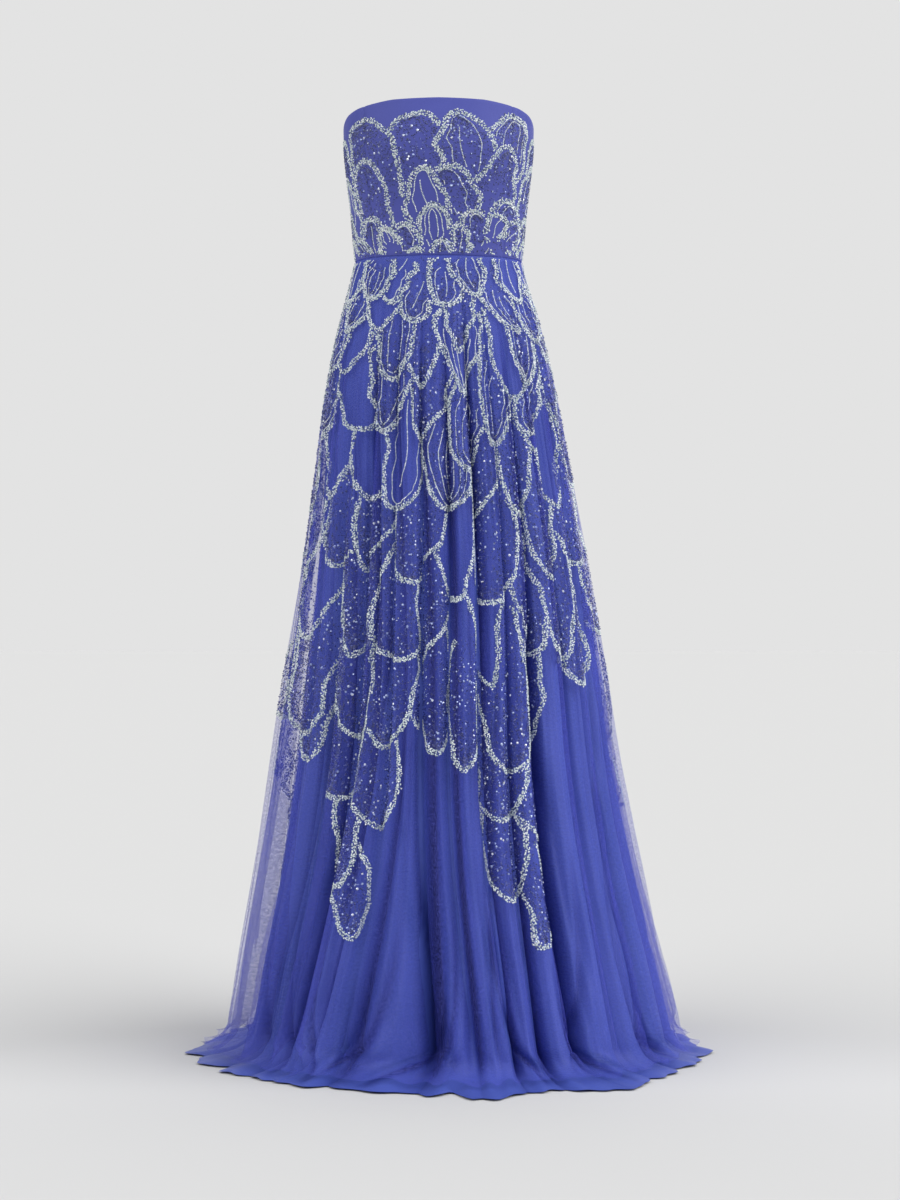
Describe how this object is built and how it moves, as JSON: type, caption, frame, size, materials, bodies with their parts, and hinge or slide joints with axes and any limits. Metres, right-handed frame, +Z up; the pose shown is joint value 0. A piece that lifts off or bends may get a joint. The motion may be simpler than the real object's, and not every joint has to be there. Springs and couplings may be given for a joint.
{
  "type": "strapless gown",
  "caption": "Floor-length strapless evening gown as worn: a fitted panelled bodice, a sheer net overskirt in soft folds, an opaque lining skirt that pools on the floor, and a back zip.",
  "frame": {"origin": "centre of the waist seam, where the wearer's waist carries the gown; the floor under the hem is 1.175 m below", "axes": "+Z up, +Y towards the gown's back, so the front faces -Y and +X is the wearer's left"},
  "size_m": [0.7685, 0.7969, 1.3998],
  "materials": {
    "bodice_cloth": "matte net over satin, beaded",
    "overlay_net": "sheer matte net, beaded above",
    "lining_cloth": "soft opaque chiffon",
    "zip_tape": "matte woven tape",
    "zip_metal": "satin enamel"
  },
  "bodies": {
    "gown": {"bodice_front": "bodice_cloth", "bodice_side_left": "bodice_cloth", "bodice_side_right": "bodice_cloth", "bodice_back_left": "bodice_cloth", "bodice_back_right": "bodice_cloth", "overlay_front": "overlay_net", "overlay_back_left": "overlay_net", "overlay_back_right": "overlay_net", "lining_front": "lining_cloth", "lining_back_left": "lining_cloth", "lining_back_right": "lining_cloth", "back_zip": "zip_tape", "zip_slider": "zip_metal"},
    "zip_pull": {"zip_pull": "zip_metal"}
  },
  "joints": [
    {"name": "zip_pull_hinge", "type": "hinge", "parent": "gown", "child": "zip_pull", "pos_m": [0, 0.10116, 0.155], "axis": [1, 0, 0], "range_deg": [0, 165]}
  ]
}
